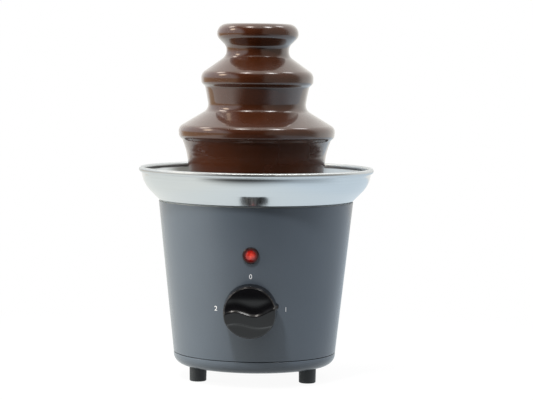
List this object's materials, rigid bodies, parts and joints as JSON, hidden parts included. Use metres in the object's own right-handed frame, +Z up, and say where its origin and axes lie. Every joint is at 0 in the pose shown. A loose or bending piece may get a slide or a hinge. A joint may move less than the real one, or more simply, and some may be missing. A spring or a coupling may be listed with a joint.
{
  "type": "chocolate fountain",
  "caption": "Electric tabletop chocolate fountain: tapered base with knob and pilot lamp, heated metal bowl, tiered tower with flowing chocolate, auger pump and geared motor inside.",
  "frame": {"origin": "on the table, under the middle of the base", "axes": "+Z up along the auger, -Y towards the knob and lamp, +X to the viewer's right"},
  "size_m": [0.1648, 0.1648, 0.2501],
  "materials": {
    "housing_plastic": "satin grey moulded plastic",
    "foot_rubber": "matt dark rubber",
    "bowl_steel": "spun satin steel",
    "fixing_steel": "zinc-plated steel",
    "gasket_silicone": "matt black silicone",
    "seal_silicone": "matt red silicone",
    "heater_aluminium": "cast aluminium",
    "element_steel": "dull sheathed element",
    "bronze": "sintered bronze and brass",
    "white_plastic": "ivory moulded plastic",
    "motor_steel": "plated motor steel",
    "magnet": "dark sintered magnet",
    "winding": "copper winding on a steel stack",
    "switch_plastic": "brown moulded plastic",
    "tier_plastic": "ivory food-grade plastic",
    "chocolate": "wet glossy dark chocolate",
    "knob_black": "glossy black plastic",
    "bezel_black": "glossy dark plastic",
    "lens_red": "lit red plastic",
    "lead_red": "red-brown lead insulation"
  },
  "bodies": {
    "base": {"housing": "housing_plastic", "bottom_cover": "housing_plastic", "foot_front_left": "foot_rubber", "foot_front_right": "foot_rubber", "foot_rear": "foot_rubber", "cover_screws": "fixing_steel", "bowl": "bowl_steel", "bowl_gasket": "gasket_silicone", "bowl_studs": "fixing_steel", "tower_posts": "fixing_steel", "heater_plate": "heater_aluminium", "heating_element": "element_steel", "thermostat": "heater_aluminium", "motor_plate": "fixing_steel", "spacer_sleeves": "fixing_steel", "stud_nuts": "fixing_steel", "plate_screws": "fixing_steel", "shaft_hub": "fixing_steel", "hub_nut": "fixing_steel", "shaft_bush": "bronze", "shaft_seal": "seal_silicone", "gearbox_case": "white_plastic", "gearbox_screws": "fixing_steel", "idler_pin": "fixing_steel", "motor_can": "motor_steel", "motor_endcap": "motor_steel", "motor_magnets": "magnet", "motor_screws": "fixing_steel", "rotary_switch": "switch_plastic", "switch_nut": "fixing_steel", "lamp_body": "white_plastic", "lamp_bezel": "bezel_black", "lamp_lens": "lens_red", "lamp_clip": "fixing_steel", "terminal_block": "white_plastic", "terminal_screw": "fixing_steel", "cord_gland": "foot_rubber", "chocolate_pool": "chocolate", "motor_terminals": "bronze", "supply_lead": "lead_red", "heater_leads": "lead_red", "motor_leads": "lead_red", "lamp_leads": "lead_red"},
    "tower": {"tower_tube": "tier_plastic", "crown_tier": "tier_plastic", "middle_tier": "tier_plastic", "lower_tier": "tier_plastic", "chocolate_crown": "chocolate", "chocolate_middle": "chocolate", "chocolate_lower": "chocolate"},
    "drive": {"drive_shaft": "fixing_steel", "shaft_collar": "fixing_steel", "auger_coupling": "tier_plastic", "auger": "tier_plastic", "output_gear": "white_plastic"},
    "idler": {"idler_gear": "white_plastic"},
    "rotor": {"motor_rotor": "winding", "motor_pinion": "bronze"},
    "knob": {"knob": "knob_black", "switch_spindle": "fixing_steel"}
  },
  "joints": [
    {"name": "tower_lift", "type": "slide", "parent": "base", "child": "tower", "axis": [0, 0, 1], "range_m": [0, 0.14]},
    {"name": "auger_spin", "type": "hinge", "parent": "base", "child": "drive", "pos_m": [0, 0, 0.11181], "axis": [0, 0, 1], "continuous": true},
    {"name": "idler_spin", "type": "hinge", "parent": "base", "child": "idler", "pos_m": [0, 0.0208, 0.074], "axis": [0, 0, 1], "continuous": true},
    {"name": "rotor_spin", "type": "hinge", "parent": "base", "child": "rotor", "pos_m": [0.01891, 0.01747, 0.05], "axis": [0, 0, 1], "continuous": true},
    {"name": "knob_turn", "type": "hinge", "parent": "base", "child": "knob", "pos_m": [0, -0.06092, 0.0553], "axis": [0, -0.9943, -0.1064], "range_deg": [0, 180]}
  ],
  "couplings": [
    {"joint": "idler_spin", "follows": "auger_spin", "ratio": -3.3333},
    {"joint": "rotor_spin", "follows": "auger_spin", "ratio": 10}
  ]
}
